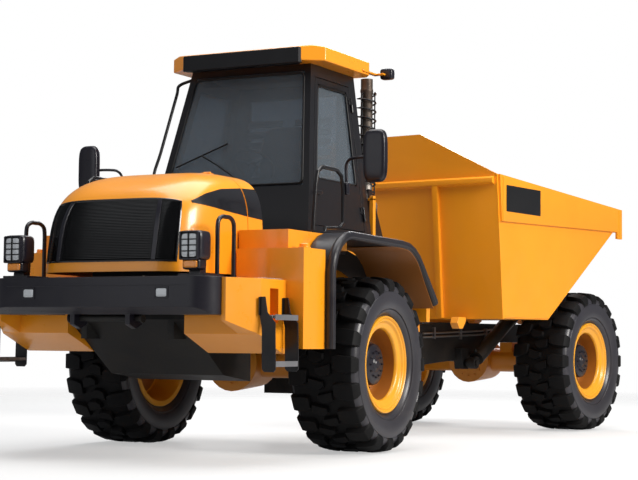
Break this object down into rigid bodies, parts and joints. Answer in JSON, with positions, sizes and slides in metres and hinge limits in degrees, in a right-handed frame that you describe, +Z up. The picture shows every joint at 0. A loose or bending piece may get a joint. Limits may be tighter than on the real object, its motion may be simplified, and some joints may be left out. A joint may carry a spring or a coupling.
{
  "type": "articulated dump truck",
  "caption": "Two-axle articulated dump truck with a tipping bed, centre hitch, opening hood and cab door, free wheels and hydraulic cylinders.",
  "frame": {"origin": "on the ground, at the middle of the parked truck's box", "axes": "+Z up; the truck's front faces -Y and its left side is +X; the rear half is parked turned 7.3 degrees about the hitch"},
  "size_m": [3.1152, 7.2716, 3.245],
  "materials": {
    "yellow_paint": "gloss, dusty",
    "black_paint": "satin",
    "tyre_rubber": "matt",
    "window_glass": "gloss, tinted",
    "seat_cloth": "woven",
    "bright_steel": "polished",
    "exhaust_steel": "heat stained"
  },
  "bodies": {
    "tractor": {"front_frame": "black_paint", "front_bumper": "black_paint", "engine_block": "black_paint", "front_axle": "yellow_paint", "hood_cowl": "yellow_paint", "rear_deck": "yellow_paint", "exhaust_stack": "exhaust_steel", "corner_fairing_left": "yellow_paint", "corner_fairing_right": "yellow_paint", "side_box_left": "yellow_paint", "side_box_right": "yellow_paint", "ladder_left": "black_paint", "ladder_right": "black_paint", "front_lamp_left": "black_paint", "front_lamp_right": "black_paint", "handrail_left": "black_paint", "handrail_right": "black_paint", "mirror_left": "black_paint", "mirror_right": "black_paint", "fender_left": "black_paint", "fender_right": "black_paint", "cab_frame": "black_paint", "windscreen": "window_glass", "cab_right_panel": "black_paint", "right_window": "window_glass", "cab_rear_panel": "black_paint", "rear_window": "window_glass", "cab_roof": "yellow_paint", "driver_seat": "seat_cloth", "steering_console": "black_paint"},
    "hood": {"hood": "yellow_paint", "grille": "black_paint"},
    "left_door": {"door": "black_paint", "door_window": "window_glass"},
    "hitch": {"hitch_yoke": "black_paint"},
    "rear_chassis": {"rear_frame": "black_paint", "rear_axle": "yellow_paint"},
    "bed": {"bed_floor": "yellow_paint", "bed_ramp": "yellow_paint", "bed_front_wall": "yellow_paint", "bed_side_left": "yellow_paint", "bed_side_right": "yellow_paint"},
    "tip_barrel_left": {"tip_cylinder_left_barrel": "black_paint"},
    "tip_rod_left": {"tip_cylinder_left_rod": "bright_steel"},
    "steer_barrel_left": {"steer_cylinder_left_barrel": "black_paint"},
    "steer_rod_left": {"steer_cylinder_left_rod": "bright_steel"},
    "tip_barrel_right": {"tip_cylinder_right_barrel": "black_paint"},
    "tip_rod_right": {"tip_cylinder_right_rod": "bright_steel"},
    "steer_barrel_right": {"steer_cylinder_right_barrel": "black_paint"},
    "steer_rod_right": {"steer_cylinder_right_rod": "bright_steel"},
    "front_left_wheel": {"front_left_tyre": "tyre_rubber", "front_left_rim": "yellow_paint"},
    "front_right_wheel": {"front_right_tyre": "tyre_rubber", "front_right_rim": "yellow_paint"},
    "rear_left_wheel": {"rear_left_tyre": "tyre_rubber", "rear_left_rim": "yellow_paint"},
    "rear_right_wheel": {"rear_right_tyre": "tyre_rubber", "rear_right_rim": "yellow_paint"}
  },
  "joints": [
    {"name": "steer", "type": "hinge", "parent": "tractor", "child": "hitch", "pos_m": [-0.135, 0.29, 0.745], "axis": [0, 0, 1], "range_deg": [-37.7, 52.3]},
    {"name": "roll", "type": "hinge", "parent": "hitch", "child": "rear_chassis", "pos_m": [-0.09434, 0.60741, 0.745], "axis": [0.1271, 0.9919, 0], "range_deg": [-15, 15]},
    {"name": "tip", "type": "hinge", "parent": "rear_chassis", "child": "bed", "pos_m": [0.23222, 3.15657, 1.13], "axis": [-0.9919, 0.1271, 0], "range_deg": [0, 70]},
    {"name": "hood_hinge", "type": "hinge", "parent": "tractor", "child": "hood", "pos_m": [-0.135, -2.637, 2.1], "axis": [-1, 0, 0], "range_deg": [0, 50]},
    {"name": "door_hinge", "type": "hinge", "parent": "tractor", "child": "left_door", "pos_m": [0.61413, -0.843, 1.76], "axis": [-0.1313, 0, 0.9913], "range_deg": [0, 95]},
    {"name": "front_left_roll", "type": "hinge", "parent": "tractor", "child": "front_left_wheel", "pos_m": [0.895, -1.54, 0.68], "axis": [1, 0, 0], "continuous": true},
    {"name": "front_right_roll", "type": "hinge", "parent": "tractor", "child": "front_right_wheel", "pos_m": [-1.165, -1.54, 0.68], "axis": [1, 0, 0], "continuous": true},
    {"name": "rear_left_roll", "type": "hinge", "parent": "rear_chassis", "child": "rear_left_wheel", "pos_m": [1.19796, 2.58926, 0.68], "axis": [0.9919, -0.1271, 0], "continuous": true},
    {"name": "rear_right_roll", "type": "hinge", "parent": "rear_chassis", "child": "rear_right_wheel", "pos_m": [-0.84534, 2.85102, 0.68], "axis": [0.9919, -0.1271, 0], "continuous": true},
    {"name": "tip_barrel_left_swing", "type": "hinge", "parent": "rear_chassis", "child": "tip_barrel_left", "pos_m": [0.58462, 1.57901, 0.66], "axis": [0.9919, -0.1271, 0], "range_deg": [-3, 3]},
    {"name": "tip_rod_left_slide", "type": "slide", "parent": "tip_barrel_left", "child": "tip_rod_left", "axis": [0.11, 0.8589, 0.5002], "range_m": [-0.01, 0.49]},
    {"name": "steer_barrel_left_swing", "type": "hinge", "parent": "tractor", "child": "steer_barrel_left", "pos_m": [0.206, -0.4, 0.77], "axis": [0, 0, 1], "range_deg": [-8, 10]},
    {"name": "steer_rod_left_slide", "type": "slide", "parent": "steer_barrel_left", "child": "steer_rod_left", "axis": [-0.0731, 0.9973, 0], "range_m": [-0.1752, 0.2412]},
    {"name": "tip_barrel_right_swing", "type": "hinge", "parent": "rear_chassis", "child": "tip_barrel_right", "pos_m": [-0.50646, 1.71878, 0.66], "axis": [0.9919, -0.1271, 0], "range_deg": [-3, 3]},
    {"name": "tip_rod_right_slide", "type": "slide", "parent": "tip_barrel_right", "child": "tip_rod_right", "axis": [0.11, 0.8589, 0.5002], "range_m": [-0.01, 0.49]},
    {"name": "steer_barrel_right_swing", "type": "hinge", "parent": "tractor", "child": "steer_barrel_right", "pos_m": [-0.476, -0.4, 0.77], "axis": [0, 0, 1], "range_deg": [-8, 10]},
    {"name": "steer_rod_right_slide", "type": "slide", "parent": "steer_barrel_right", "child": "steer_rod_right", "axis": [0.1155, 0.9933, 0], "range_m": [-0.2526, 0.1835]}
  ],
  "couplings": [
    {"joint": "tip_barrel_left_swing", "follows": "tip", "ratio": 0.017256},
    {"joint": "tip_rod_left_slide", "follows": "tip", "m_per_rad": 0.3923},
    {"joint": "steer_barrel_left_swing", "follows": "steer", "ratio": 0.16076},
    {"joint": "steer_rod_left_slide", "follows": "steer", "m_per_rad": 0.25872},
    {"joint": "tip_barrel_right_swing", "follows": "tip", "ratio": 0.017256},
    {"joint": "tip_rod_right_slide", "follows": "tip", "m_per_rad": 0.3923},
    {"joint": "steer_barrel_right_swing", "follows": "steer", "ratio": 0.13569},
    {"joint": "steer_rod_right_slide", "follows": "steer", "m_per_rad": -0.27127}
  ]
}
